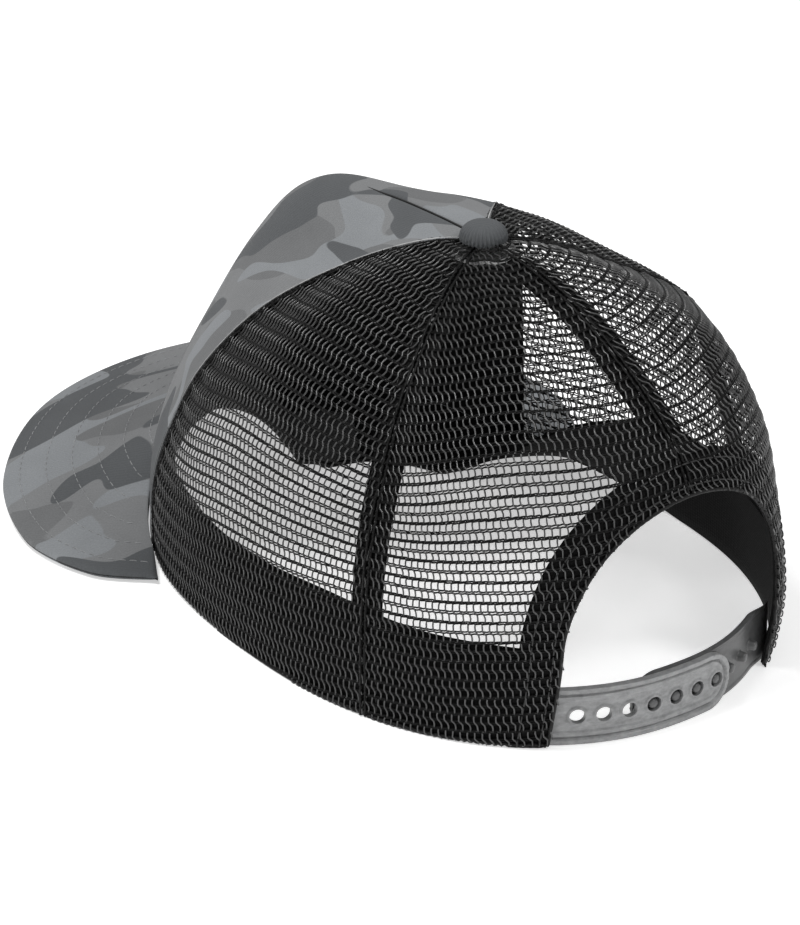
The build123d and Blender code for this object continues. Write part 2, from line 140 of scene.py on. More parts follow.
def make_studio():
    scene = bpy.context.scene
    scene.view_settings.view_transform = "Standard"
    world = bpy.data.worlds.new("studio")
    scene.world = world
    world.use_nodes = True
    background = world.node_tree.nodes["Background"]
    background.inputs["Color"].default_value = (1, 1, 1, 1)
    background.inputs["Strength"].default_value = WORLD_LIGHT
    make_light("key", (0.40, -0.05, 1.15), 0.35, 8)
    make_light("back", (-0.35, 0.75, 1.0), 0.3, 3.5)
    corners = [(x * FLOOR_REACH, y * FLOOR_REACH, 0) for x, y in ((-1, -1), (1, -1), (1, 1), (-1, 1))]
    glow = {"Emission Color": (1, 1, 1, 1), "Emission Strength": FLOOR_GLOW}
    paper = Nodes("floor_paper").finish(grey(0.86), 0.9, more=glow)
    floor = mesh_object("floor", corners, [(0, 1, 2, 3)], None, paper, scale=1)


# ---------------------------------------------------------------- materials

class Nodes:
    """A new material, and a short way to add linked shader nodes to it."""

    def __init__(self, name):
        self.material = bpy.data.materials.new(name)
        self.material.use_nodes = True
        self.tree = self.material.node_tree
        self.shader = self.tree.nodes["Principled BSDF"]

    def add(self, kind, inputs=None, **settings):
        node = self.tree.nodes.new(kind)
        for key, value in settings.items():
            setattr(node, key, value)
        self.fill(node, inputs or {})
        return node

    def fill(self, node, inputs):
        """Link the inputs that are sockets and set the others."""
        for key, value in inputs.items():
            if isinstance(value, bpy.types.NodeSocket):
                self.tree.links.new(value, node.inputs[key])
            else:
                node.inputs[key].default_value = value

    def finish(self, colour, roughness, gloss=0.5, more=None):
        surface = {"Base Color": colour, "Roughness": roughness, "Specular IOR Level": gloss}
        self.fill(self.shader, surface | (more or {}))
        return self.material

    def math(self, operation, first, second=0.0, third=0.0):
        inputs = {0: first, 1: second, 2: third}
        return self.add("ShaderNodeMath", inputs, operation=operation).outputs[0]

    def mix(self, share, first, second):
        """Colour between two others.  A Mix node's colours are its sockets 6 and 7."""
        node = self.add("ShaderNodeMix", data_type="RGBA")
        self.fill(node, {0: share, 6: first, 7: second})
        return node.outputs[2]

    def noise(self, vector, scale, detail=2.0, distortion=0.0, roughness=0.5):
        inputs = {"Vector": vector, "Scale": scale, "Detail": detail, "Distortion": distortion,
                  "Roughness": roughness}
        return self.add("ShaderNodeTexNoise", inputs).outputs["Fac"]

    def bands(self, vector, scale, direction):
        settings = {"wave_type": "BANDS", "bands_direction": direction}
        return self.add("ShaderNodeTexWave", {"Vector": vector, "Scale": scale}, **settings).outputs["Fac"]

    def ramp(self, value, low, high, start=0.0, end=1.0):
        """Start where the value is below low, end where it is above high."""
        inputs = {"Value": value, "From Min": low, "From Max": high, "To Min": start, "To Max": end}
        return self.add("ShaderNodeMapRange", inputs).outputs["Result"]

    def scaled(self, vector, scale, offset=(0, 0, 0)):
        node = self.add("ShaderNodeMapping", {"Vector": vector, "Scale": scale, "Location": offset})
        return node.outputs["Vector"]

    def bump(self, height, distance, strength):
        node = self.add("ShaderNodeBump", {"Height": height, "Distance": distance, "Strength": strength})
        self.fill(self.shader, {"Normal": node.outputs["Normal"]})

    def uv(self):
        return self.add("ShaderNodeUVMap", uv_map="cloth").outputs["UV"]

    def place(self):
        """Position on the object in millimetres."""
        position = self.add("ShaderNodeTexCoord").outputs["Object"]
        return self.scaled(position, (1000, 1000, 1000))


def grey(value, tint=0.0):
    """Grey with a slight blue tint."""
    return (value * (1 - tint), value, value * (1 + tint), 1)


CAMO_BASE = grey(0.195, 0.02)
CAMO_PALE = grey(0.238, 0.045)
CAMO_MID = grey(0.150, 0.02)
CAMO_DARK = grey(0.094, 0.05)


def camo_material(name, offset=(0, 0, 0), stretch=(1.0, 1.0, 1.0)):
    """Twill printed with four greys."""
    nodes = Nodes(name)
    uv = nodes.uv()
    flat = nodes.scaled(uv, stretch, offset)

    def patches(shift, size, level, squeeze=1):
        moved = nodes.scaled(flat, (squeeze, 1, 1), shift)
        cloud = nodes.noise(moved, 1 / size, detail=0.4, distortion=0.5)
        return nodes.ramp(cloud, level, level + 0.006)

    colour = nodes.mix(patches((3.1, 7.7, 0), 36, 0.535), CAMO_BASE, CAMO_MID)
    colour = nodes.mix(patches((41.0, 13.0, 0), 30, 0.56), colour, CAMO_PALE)
    colour = nodes.mix(patches((77.0, 58.0, 0), 34, 0.565, 1.1), colour, CAMO_DARK)
    speckle = nodes.noise(uv, 1.9, detail=3.0, roughness=0.7)
    worn = nodes.noise(uv, 0.06, detail=3.0)
    fine_shade = nodes.math("MULTIPLY_ADD", speckle, 0.5, 0.62)
    broad_shade = nodes.math("MULTIPLY_ADD", worn, 0.3, 0.98)
    shade = nodes.math("MULTIPLY", fine_shade, broad_shade)
    tinted = nodes.add("ShaderNodeVectorMath", {0: colour, "Scale": shade}, operation="SCALE")
    twill = nodes.bands(uv, 0.42, "DIAGONAL")
    nodes.bump(nodes.math("ADD", twill, nodes.math("MULTIPLY", speckle, 0.8)), 0.0001, 0.55)
    return nodes.finish(tinted.outputs["Vector"], 0.92, 0.25, {"Sheen Weight": 0.06})


def thread_material(name, colour, roughness, vary=0.35, gloss=0.5):
    """Twisted thread, a little lighter and darker along its length."""
    nodes = Nodes(name)
    place = nodes.place()
    tone = nodes.ramp(nodes.noise(place, 0.35), 0.3, 0.7)
    dark, pale = [tuple(c * share for c in colour[:3]) + (1,) for share in (1 - vary, 1 + vary)]
    nodes.bump(nodes.noise(place, 5.0, detail=1.0), 0.00008, 0.6)
    return nodes.finish(nodes.mix(tone, dark, pale), roughness, gloss)


def woven_black_material(name, value, scale=1.4, roughness=0.8):
    """Plain black weave for tapes, bands and linings."""
    nodes = Nodes(name)
    uv = nodes.uv()
    across, along = [nodes.bands(uv, scale * 0.32, direction) for direction in ("X", "Y")]
    weave = nodes.math("MULTIPLY", across, along)
    fuzz = nodes.noise(uv, 2.2, detail=3.0)
    tone = nodes.math("MULTIPLY", nodes.math("ADD", weave, 0.4), fuzz)
    nodes.bump(nodes.math("ADD", weave, fuzz), 0.00015, 0.6)
    return nodes.finish(nodes.mix(tone, grey(value * 0.6), grey(value * 1.8, 0.02)), roughness, 0.18)


def plastic_material(name, dark, pale):
    """Moulded plastic with faint flow marks."""
    nodes = Nodes(name)
    place = nodes.place()
    flow = nodes.noise(nodes.scaled(place, (0.7, 0.7, 1.3)), 0.5, detail=7.0, roughness=0.65)
    colour = nodes.mix(nodes.ramp(flow, 0.25, 0.8), grey(dark, 0.01), grey(pale, 0.01))
    nodes.bump(nodes.noise(place, 1.2, detail=4.0), 0.00006, 0.5)
    return nodes.finish(colour, nodes.ramp(flow, 0.1, 0.9, 0.26, 0.46))


def metal_material():
    nodes = Nodes("button_metal")
    marks = nodes.noise(nodes.scaled(nodes.place(), (1, 1, 8)), 0.8, detail=4.0)
    nodes.bump(marks, 0.00003, 0.4)
    return nodes.finish(nodes.mix(marks, grey(0.35), grey(0.6)), 0.38, more={"Metallic": 1.0})


# ---------------------------------------------------------------- meshes

def mesh_object(name, points, faces, uvs=None, material=None, scale=MM):
    """Smooth-shaded mesh in the scene; uvs are flat cloth lengths in millimetres."""
    mesh = bpy.data.meshes.new(name)
    points = np.asarray(points, float).reshape(-1, 3) * scale
    faces = np.asarray(faces)
    mesh.from_pydata(points.tolist(), [], faces.tolist())
    if uvs is not None:
        layer = mesh.uv_layers.new(name="cloth")
        corners = np.empty(len(mesh.loops), np.int32)
        mesh.loops.foreach_get("vertex_index", corners)
        layer.data.foreach_set("uv", np.asarray(uvs, np.float32).reshape(-1, 2)[corners].ravel())
    mesh.shade_smooth()
    if material:
        mesh.materials.append(material)
    mesh.validate()
    thing = bpy.data.objects.new(name, mesh)
    bpy.context.scene.collection.objects.link(thing)
    return thing


def grid_faces(rows, columns, flip=False):
    """Quads of a grid with this many points each way."""
    i = np.arange((rows - 1) * columns).reshape(rows - 1, columns)[:, :-1].ravel()
    quads = np.stack([i, i + 1, i + columns + 1, i + columns], -1)
    return quads[:, ::-1] if flip else quads


def grid_object(name, points, uvs, material, flip=False):
    return mesh_object(name, points, grid_faces(*points.shape[:2], flip=flip), uvs, material)


def thicken(thing, thickness, soft_edge=0.35):
    """Give a sheet its thickness inwards, with edges rounded by a share of it."""
    solid = thing.modifiers.new("thickness", "SOLIDIFY")
    solid.thickness = thickness * MM
    solid.offset = -1
    if soft_edge:
        soften(thing, thickness * soft_edge, 55)


def soften(thing, width, angle):
    """Round the edges that turn by more than an angle in degrees."""
    bevel = thing.modifiers.new("soft_edge", "BEVEL")
    bevel.width = width * MM
    bevel.segments = 2
    bevel.limit_method = "ANGLE"
    bevel.angle_limit = math.radians(angle)


def run_length(points):
    """Distance of each point of a line from the first, along the line."""
    return np.concatenate([[0], np.cumsum(np.linalg.norm(np.diff(points, axis=0), axis=1))])


def run_across(points, middle):
    """Distance of each point of a grid from one column, along its row."""
    across = np.linalg.norm(np.diff(points, axis=1), axis=2)
    across = np.concatenate([np.zeros((len(points), 1)), np.cumsum(across, 1)], 1)
    return across - across[:, middle][:, None]


def tubes(paths, normals, radius, sides=5):
    """Open tubes along many short paths, shaped (count, points, 3).  Returns points and quads."""
    count, steps = paths.shape[:2]
    along = np.gradient(paths, axis=1)
    along /= np.linalg.norm(along, axis=2, keepdims=True) + 1e-9
    side = np.cross(along, normals)
    side /= np.linalg.norm(side, axis=2, keepdims=True) + 1e-9
    up = np.cross(side, along)
    angle = 2 * np.pi * np.arange(sides) / sides
    ring = side[:, :, None] * np.cos(angle)[:, None] + up[:, :, None] * np.sin(angle)[:, None]
    points = paths[:, :, None] + radius * ring
    j = np.arange(sides)
    quad = np.stack([j, (j + 1) % sides, (j + 1) % sides + sides, j + sides], -1)
    quads = quad[None] + sides * np.arange(steps - 1)[:, None, None]
    quads = quads.reshape(-1, 4)[None] + (sides * steps) * np.arange(count)[:, None, None]
    return points.reshape(-1, 3), quads.reshape(-1, 4)


def finish_piece(thing, slot, *nodes):
    """Make a piece part of the cap, in place of the CAD nodes named."""
    if nodes:
        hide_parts(*nodes)
    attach(thing, "cap")


def long_tube(name, points, normals, radius, sides, material, slot="netting"):
    """One tube along a line of points, fixed to the cap."""
    tube = tubes(points[None], normals[None], radius, sides)
    finish_piece(mesh_object(name, *tube, None, material), slot)


def add_meshes(parts):
    """Join (points, faces) pairs."""
    shift = np.cumsum([0] + [len(part[0]) for part in parts[:-1]])
    points = np.concatenate([part[0] for part in parts])
    faces = np.concatenate([np.asarray(part[1]) + offset for part, offset in zip(parts, shift)])
    return points, faces


def stitches(points, normals, length, gap, radius, proud=0.5):
    """Short raised threads along a line; proud is how much of its radius each stands out."""
    distance = run_length(points)
    starts = np.arange(gap, distance[-1] - length, length + gap)
    share = np.linspace(0, 1, 6)
    at = starts[:, None] + share[None] * length
    paths = np.stack([np.interp(at, distance, points[:, k]) for k in range(3)], -1)
    up = np.stack([np.interp(at, distance, normals[:, k]) for k in range(3)], -1)
    sink = -1.6 * radius * (2 * share - 1) ** 4 + proud * radius
    return tubes(paths + up * sink[None, :, None], up, radius, sides=6)


STITCH_LENGTH, STITCH_GAP, STITCH_RADIUS = 2.2, 0.7, 0.2


def stitch_row(name, points, normals, material, slot="black_tape", gap=STITCH_GAP):
    """Row of stitches along a line, fixed to the cap."""
    row = stitches(points, normals, STITCH_LENGTH, gap, STITCH_RADIUS)
    finish_piece(mesh_object(name, *row, None, material), slot)


def smooth_step(value, low, high):
    """0 below low, 1 above high, with a smooth rise between."""
    t = np.clip((value - low) / (high - low), 0, 1)
    return t * t * (3 - 2 * t)


# ---------------------------------------------------------------- crown surface

def hermite(knots, rows, at):
    """Smooth curve through rows at knots, read at many places.  The first axis runs along it."""
    knots, rows, at = np.asarray(knots, float), np.asarray(rows, float), np.asarray(at, float)
    last = len(knots) - 1
    low, high = np.maximum(np.arange(last + 1) - 1, 0), np.minimum(np.arange(last + 1) + 1, last)
    shape = (-1,) + (1,) * (rows.ndim - 1)
    slopes = (rows[high] - rows[low]) / (knots[high] - knots[low]).reshape(shape)
    span = np.clip(np.searchsorted(knots, at, side="right") - 1, 0, last - 1)
    length = (knots[span + 1] - knots[span]).reshape(shape)
    t = ((at - knots[span]) / (knots[span + 1] - knots[span])).reshape(shape)
    value = (2 * t**3 - 3 * t**2 + 1) * rows[span] + (3 * t**2 - 2 * t**3) * rows[span + 1]
    return value + length * ((t**3 - 2 * t**2 + t) * slopes[span] + (t**3 - t**2) * slopes[span + 1])


def rim_plan(azimuth):
    side, front = np.sin(np.radians(azimuth)), np.cos(np.radians(azimuth))
    x = RIM_HALF_WIDTH * np.sign(side) * np.abs(side) ** (2 / RIM_POWER)
    y = -RIM_HALF_LENGTH * np.sign(front) * np.abs(front) ** (2 / RIM_POWER)
    return x, y


class Crown:
    """The outside of the crown as a fine table, read in between."""
    AZIMUTH_STEP = 0.5
    CLIMB_STEP = 0.005
    CLIMB_LOW = -0.03

    def __init__(self):
        angles = sorted(PROFILES)
        keys = angles[-2:] + angles + angles[:1]
        knots = [angle - 360 for angle in angles[-2:]] + angles + [angles[0] + 360]
        azimuth = np.arange(-180, 180 + self.AZIMUTH_STEP, self.AZIMUTH_STEP)
        climb = np.arange(self.CLIMB_LOW, 1 + self.CLIMB_STEP / 2, self.CLIMB_STEP)
        rows = hermite(knots, np.array([PROFILES[key] for key in keys]), azimuth)
        profile = hermite(np.arange(8) / 7, rows.transpose(1, 0, 2), climb)
        x, y = rim_plan(azimuth)
        reach, height = profile[..., 0], profile[..., 1]
        self.points = np.stack([reach * x, TOP_Y + reach * (y - TOP_Y), height], -1)
        self.normals = self.outward()
        self.points = self.points + self.normals * self.relief(azimuth[None], climb[:, None])[..., None]
        self.normals = self.outward()
        steps = np.linalg.norm(np.diff(self.points, axis=1), axis=2)
        self.arc = np.concatenate([np.zeros((len(climb), 1)), np.cumsum(steps, 1)], 1)[..., None]

    def outward(self):
        up = np.gradient(self.points, axis=0)
        along = np.gradient(self.points, axis=1)
        along[:, 0] = along[:, -1] = (along[:, 1] + along[:, -2]) / 2
        normal = np.cross(along, up)
        length = np.linalg.norm(normal, axis=2, keepdims=True)
        normal = normal / np.maximum(length, 1e-9)
        normal[-1] = (0, 0, 1)
        return normal

    def relief(self, azimuth, climb):
        """Soft folds and hollows of real cloth, in millimetres outwards."""
        side = np.abs(azimuth)
        ripple = np.sin(np.radians(azimuth) * 9 + climb * 5) * np.sin(climb * 9)
        soft = np.clip((side - FRONT_SEAM) / 12, 0, 1) * np.clip((1 - climb) / 0.15, 0, 1)
        return 0.5 * ripple * soft

    def read(self, table, azimuth, climb):
        a = ((np.asarray(azimuth, float) + 180) % 360) / self.AZIMUTH_STEP
        c = (np.clip(np.asarray(climb, float), self.CLIMB_LOW, 1) - self.CLIMB_LOW) / self.CLIMB_STEP
        a, c = np.broadcast_arrays(a, c)
        i = np.clip(np.floor(c).astype(int), 0, table.shape[0] - 2)
        j = np.clip(np.floor(a).astype(int), 0, table.shape[1] - 2)
        s, t = (c - i)[..., None], (a - j)[..., None]
        low = table[i, j] * (1 - t) + table[i, j + 1] * t
        high = table[i + 1, j] * (1 - t) + table[i + 1, j + 1] * t
        return low * (1 - s) + high * s

    def at(self, azimuth, climb, depth=0.0):
        normal = self.normal(azimuth, climb)
        return self.read(self.points, azimuth, climb) - normal * np.asarray(depth)[..., None]

    def normal(self, azimuth, climb):
        normal = self.read(self.normals, azimuth, climb)
        return normal / np.linalg.norm(normal, axis=-1, keepdims=True)

    def climb_for_height(self, azimuth, height):
        """Climb where the crown is this far above its own rim."""
        azimuth, height = np.broadcast_arrays(np.asarray(azimuth, float), np.asarray(height, float))
        low, high = np.zeros(azimuth.shape), np.full(azimuth.shape, 0.75)
        rim = self.read(self.points, azimuth, 0.0)[..., 2]
        for _ in range(18):
            middle = (low + high) / 2
            under = self.read(self.points, azimuth, middle)[..., 2] - rim < height
            low, high = np.where(under, middle, low), np.where(under, high, middle)
        return low

    def climb_for_radius(self, azimuth, radius):
        climbs = np.linspace(0.6, 1, 400)
        points = self.at(np.full(400, float(azimuth)), climbs)
        distance = np.hypot(points[:, 0], points[:, 1] - TOP_Y)
        return float(np.interp(-radius, -distance, climbs))

    def arc_at(self, azimuth, climb):
        """Distance round the crown, counted on past the back seam."""
        turns = np.floor((np.asarray(azimuth, float) + 180) / 360)
        once_round = self.read(self.arc, 179.99, climb)[..., 0]
        return self.read(self.arc, azimuth, climb)[..., 0] + turns * once_round

    def azimuth_for_arc(self, centre, climb, arc):
        """Azimuth that lies a distance round the crown from the centre, at a climb."""
        low, high = centre - 75.0 + 0 * climb, centre + 75.0 + 0 * climb
        wanted = self.arc_at(centre, climb) + arc
        for _ in range(14):
            middle = (low + high) / 2
            short = self.arc_at(middle, climb) < wanted
            low, high = np.where(short, middle, low), np.where(short, high, middle)
        return (low + high) / 2

    def at_side_height(self, x, z, depth=0.0):
        """Point at the back of the crown at a sideways position and a height."""
        x, z = np.asarray(x, float), np.asarray(z, float)
        azimuth = 180 - np.degrees(np.arcsin(np.clip(x / 100, -0.9, 0.9)))
        climb = z / 150
        for _ in range(12):
            point = self.at(azimuth, climb, depth)
            azimuth = azimuth + (point[..., 0] - x) / 1.9
            climb = np.clip(climb + (z - point[..., 2]) / 160, self.CLIMB_LOW, 0.95)
        return self.at(azimuth, climb, depth), azimuth, climb


crown = Crown()


# ---------------------------------------------------------------- crown cloth

def cloth_sheet(name, azimuth, climb, depth, thickness, material, uvs=None, lift=None):
    """Sheet of cloth on the crown from grids of azimuth and climb."""
    points = crown.at(azimuth, climb, depth)
    if lift is not None:
        points = points + crown.normal(azimuth, climb) * lift[..., None]
    if uvs is None:
        across = run_across(points, points.shape[1] // 2)
        along = np.linalg.norm(np.diff(points, axis=0), axis=2).mean(1)
        along = np.concatenate([[0], np.cumsum(along)])
        uvs = np.stack([across, np.broadcast_to(along[:, None], across.shape)], -1)
    thing = grid_object(name, points, uvs, material)
    thicken(thing, thickness)
    return thing


def panel_grid(start, end, bottom, rows, columns):
    """Azimuths and climbs of a panel from near the rim to under the button."""
    top = crown.climb_for_radius((start + end) / 2, 5.0)
    climb = np.linspace(bottom, top, rows)[:, None]
    azimuth = np.linspace(start, end, columns)[None]
    return np.broadcast_arrays(azimuth, climb)


DART_START = 0.66
DART_TUCK = 9.0            # cloth taken into the dart on each side
DART_GAP = 0.34            # degrees that the two columns beside the dart are moved together
SEAM_GAP = 0.1
LINING_EDGE = 53
FRONT_ROWS, FRONT_COLUMNS = 120, 162
UNDER_BUTTON = 6           # radius at which seams end, under the button


def make_front_panel(camo, lining, thread, raw_edge):
    edge = FRONT_SEAM - SEAM_GAP
    azimuth, climb = panel_grid(-edge, edge, 0.0, FRONT_ROWS, FRONT_COLUMNS)
    azimuth = np.sign(azimuth) * np.maximum(np.abs(azimuth) - DART_GAP, 0.02) * edge / (edge - DART_GAP)
    points = crown.at(azimuth, climb)
    middle = FRONT_COLUMNS // 2 - 1
    across = run_across(points, middle)
    along = run_length(points[:, middle])[:, None] * np.ones_like(across)
    taken_in = DART_TUCK * np.clip((climb - DART_START) / 0.35, 0, 1) * np.sign(azimuth)
    uvs = np.stack([across + taken_in, along], -1)
    crease = -0.8 * np.exp(-(across / 0.8) ** 2) * np.clip((climb - DART_START) / 0.06, 0, 1)
    seam_roll = 0.35 * np.exp(-((FRONT_SEAM - np.abs(azimuth)) / 1.2) ** 2)
    panel = cloth_sheet("front_panel_cloth", azimuth, climb, 0.0, 1.0, camo, uvs, crease + seam_roll)
    finish_piece(panel, "camo_twill", "front_panel")
    azimuth, climb = panel_grid(-LINING_EDGE, LINING_EDGE, 0.01, 40, 81)
    inner = cloth_sheet("front_lining_cloth", azimuth, climb, 1.15, 0.8, lining)
    finish_piece(inner, "stiff_lining", "front_lining")
    climbs = np.linspace(DART_START, crown.climb_for_radius(0, UNDER_BUTTON), 200)
    middle = np.zeros(200)
    points, normals = crown.at(middle, climbs, 0.5), crown.normal(middle, climbs)
    long_tube("dart_seam", points, normals, 0.32, 6, thread, "black_tape")
    for side, sign in (("left", 1), ("right", -1)):
        climbs = np.linspace(0.003, crown.climb_for_radius(sign * FRONT_SEAM, UNDER_BUTTON), 300)
        line = np.full(300, sign * (FRONT_SEAM - 0.2))
        points, normals = crown.at(line, climbs, -0.1), crown.normal(line, climbs)
        long_tube(f"cut_edge_{side}", points, normals, 0.22, 6, raw_edge, "camo_twill")


def strip_grid(azimuth, width, low, high, rows, columns):
    """Grid for a tape of constant width that runs up a seam."""
    climb = np.linspace(low, high, rows)[:, None] * np.ones((1, columns))
    arc = np.linspace(-width / 2, width / 2, columns)[None] * np.ones((rows, 1))
    return crown.azimuth_for_arc(azimuth * np.ones_like(climb), climb, arc), climb


TAPE_WIDTH, DART_TAPE_WIDTH = 11, 8
TAPE_STITCHES = 4.2        # from the seam, on both sides
TAPE_END = 15.0            # radius at which the tapes end near the top


def make_tapes(tape, thread):
    def seam_tape(name, node, azimuth, low, rows, depth, thickness, width=TAPE_WIDTH, columns=7):
        grid = strip_grid(azimuth, width, low, top[abs(azimuth)], rows, columns)
        finish_piece(cloth_sheet(name, *grid, depth, thickness, tape), "black_tape", node)

    top = {seam: crown.climb_for_radius(seam, TAPE_END) for seam in (0, FRONT_SEAM, SIDE_SEAM, 180)}
    for side, sign in (("left", 1), ("right", -1)):
        seam_tape(f"front_tape_{side}", f"front_seam_tape_{side}", sign * FRONT_SEAM, 0.0, 60, 2.1, 0.7)
        seam_tape(f"side_tape_{side}", f"side_seam_tape_{side}", sign * SIDE_SEAM, 0.005, 60, 1.0, 0.8)
        for edge in (-TAPE_STITCHES, TAPE_STITCHES):
            climbs = np.linspace(0.01, top[SIDE_SEAM], 300)
            line = crown.azimuth_for_arc(sign * SIDE_SEAM * np.ones(300), climbs, np.full(300, edge))
            where = "fore" if edge * sign < 0 else "aft"
            points, normals = crown.at(line, climbs, 0.9), crown.normal(line, climbs)
            stitch_row(f"side_stitches_{side}_{where}", points, normals, thread)
    seam_tape("rear_tape", "rear_seam_tape", 180, crown_climb_above_arch(), 30, 1.1, 0.8)
    seam_tape("dart_tape_cloth", "dart_tape", 0, 0.6, 30, 2.1, 0.7, DART_TAPE_WIDTH, 5)


def crown_climb_above_arch():
    """Climb at the back seam just above the arch binding."""
    height = ARCH_SPRING + ARCH_HALF_WIDTH + BINDING_WIDTH
    return float(crown.climb_for_height(180.0, height)) + 0.005


BAND_HEIGHT = 31.0
BAND_END = 149             # azimuth, beside the rear opening
BAND_PER_DEGREE = 1.55     # length of cloth
LABEL_AZIMUTHS = -18, 3
BAND_LEAN_AZIMUTHS = [-180, -95, -82, -70, -57, -42, -30, -19, -6, 4, 12, 20, 32, 180]
BAND_LEAN = [90, 90, 52, 18, 0, -22, -40, -46, -46, -30, 0, 34, 90, 90]     # degrees above level


def band_point(azimuth, share):
    """Sweatband from its sewn edge (0) to its free edge (1), and its crown-side normal.

    It stands against the crown, except at the front right, where it has fallen inwards.
    """
    front = 1 - smooth_step(np.abs(azimuth), 58, 66)
    depth = 1.5 + 1.6 * front - 0.5 * (1 - smooth_step(share, 0, 0.12))
    climb = crown.climb_for_height(azimuth, 1.0 + share * BAND_HEIGHT)
    ripple = 0.5 * np.sin(np.radians(azimuth) * 11) * share - 0.6 * np.sin(np.pi * share) ** 0.7 * front
    upright = crown.at(azimuth, climb, depth + np.maximum(ripple, -0.3))
    outward = crown.normal(azimuth, climb)
    lean = np.interp(azimuth, BAND_LEAN_AZIMUTHS, BAND_LEAN)
    steps = share.shape[0]
    angle = np.radians(90 - (90 - lean) * smooth_step(share, 0, 0.13))
    level = -outward[0] * (1, 1, 0)
    level = level / np.linalg.norm(level, axis=-1, keepdims=True)
    rise = BAND_HEIGHT / (steps - 1)
    moves = level * np.cos(angle)[..., None] * rise + np.sin(angle)[..., None] * rise * np.array([0, 0, 1])
    fallen = upright[0] + np.cumsum(moves, axis=0) - moves[:1]
    fallen[..., 2] = np.maximum(fallen[..., 2], 1.6)
    normal = -level * np.sin(angle)[..., None] + np.cos(angle)[..., None] * np.array([0, 0, 1])
    share_fallen = smooth_step(90 - lean, 0, 25)[..., None]
    points = upright * (1 - share_fallen) + fallen * share_fallen
    return points, outward * (1 - share_fallen) + normal * share_fallen


def band_grid(start, end, columns, rows):
    """Points, normals and cloth lengths on the sweatband between two azimuths."""
    azimuth = np.linspace(start, end, columns)[None] * np.ones((rows, 1))
    share = np.linspace(0, 1, rows)[:, None] * np.ones_like(azimuth)
    return *band_point(azimuth, share), np.stack([azimuth * BAND_PER_DEGREE, share * BAND_HEIGHT], -1)


def make_sweatband(cloth, label_cloth, thread):
    points, normals, uvs = band_grid(-BAND_END, BAND_END, 361, 32)
    band = grid_object("sweatband_cloth", points, uvs, cloth)
    thicken(band, 1.3)
    finish_piece(band, "sweatband_cloth", "sweatband")
    line = points[29] + normals[29] * 0.1
    stitch_row("sweatband_stitches", line, normals[29], thread, "sweatband_cloth", 0.8)
    points, normals, uvs = band_grid(*LABEL_AZIMUTHS, 25, 17)
    label = grid_object("label_cloth", (points + normals * 0.65)[6:16], uvs[6:16], label_cloth)
    thicken(label, 0.5)
    finish_piece(label, "label_cloth", "size_label")


HEM_END = 153              # azimuth, just short of the arch
HEM_RADIUS, ARCH_EDGE_RADIUS = 0.62, 0.55


def make_hem(material):
    """Rolled bottom edge of the netting."""
    steps = np.arange(260)
    for side, sign in (("left", 1), ("right", -1)):
        azimuth = np.linspace(FRONT_SEAM, HEM_END, 260) * sign
        climb = np.full(260, 0.004)
        points = crown.at(azimuth, climb, 0.8) + np.array([0, 0, 0.1])
        points[:, 2] = np.maximum(points[:, 2] + 0.25 * np.sin(steps * 1.9), 0.65)
        long_tube(f"hem_{side}", points, crown.normal(azimuth, climb), HEM_RADIUS, 6, material)


def arch_line(grow, steps=160):
    """Sideways positions and heights along the arch, from the wearer's left foot to the right."""
    radius = ARCH_HALF_WIDTH + grow
    leg = np.linspace(0, ARCH_SPRING, 24)[:-1]
    turn = np.linspace(0, np.pi, steps)
    x = np.concatenate([np.full(23, radius), radius * np.cos(turn), np.full(23, -radius)])
    z = np.concatenate([leg, ARCH_SPRING + radius * np.sin(turn), leg[::-1]])
    return x, z


def make_arch(tape, thread, net):
    inner, outer = np.array(arch_line(0.3)), np.array(arch_line(BINDING_WIDTH))
    spread = np.linalg.norm(crown.at_side_height(*outer)[0] - crown.at_side_height(*inner)[0], axis=1)
    shares = np.linspace(0, 1, 9)[:, None] * BINDING_WIDTH / spread
    x, z = [inner[k] + (outer[k] - inner[k]) * shares for k in (0, 1)]
    _, azimuth, climb = crown.at_side_height(x, z)
    band = cloth_sheet("arch_tape", azimuth, np.maximum(climb, 0.004), 1.0, 0.8, tape)
    finish_piece(band, "black_tape", "arch_binding")
    points, azimuth, climb = crown.at_side_height(*arch_line(0.2, 300), 0.7)
    normals = crown.normal(azimuth, climb)
    points = points + RANDOM.normal(0, 0.09, (len(points), 1)) * normals
    points[:, 2] = np.maximum(points[:, 2], 0.6)
    long_tube("arch_rolled_edge", points, normals, ARCH_EDGE_RADIUS, 8, net)
    for number, line in enumerate((2, 6)):
        points, azimuth, climb = crown.at_side_height(x[line], z[line], -0.2)
        stitch_row(f"arch_stitches_{number}", points, crown.normal(azimuth, climb), thread)


# ---------------------------------------------------------------- netting

NET_PITCH = 2.1            # between ties, round the cap
NET_ROW = 2.95             # between knitted rows, up the cap
NET_SHIFT = 0.48           # each tie steps this far sideways, to and fro, from row to row
TIE_RADIUS = 0.25
YARN_RADIUS = 0.24
RIDGE_RADIUS = 0.42
RIDGE_SPREAD = 0.75        # of each of its rolls from the seam
# A tie over two rows: (sideways share of the shift, height as a share of a row, how far it stands out).
TIE_PATH = [(0.9, 0.0, 0.05), (1.1, 0.45, 0.1), (1.0, 0.82, 0.3), (-0.9, 1.18, 0.3), (-1.1, 1.6, 0.1),
            (-0.9, 1.86, 0.0), (0.9, 2.14, -0.15)]
# Yarns of the open row and of the close row: height in the row, how far they stand out.
OPEN_ROW = [(0.34, 0.05), (-0.34, 0.05)]
CLOSE_ROW = [(0.26, 0.12), (-0.26, 0.12)]


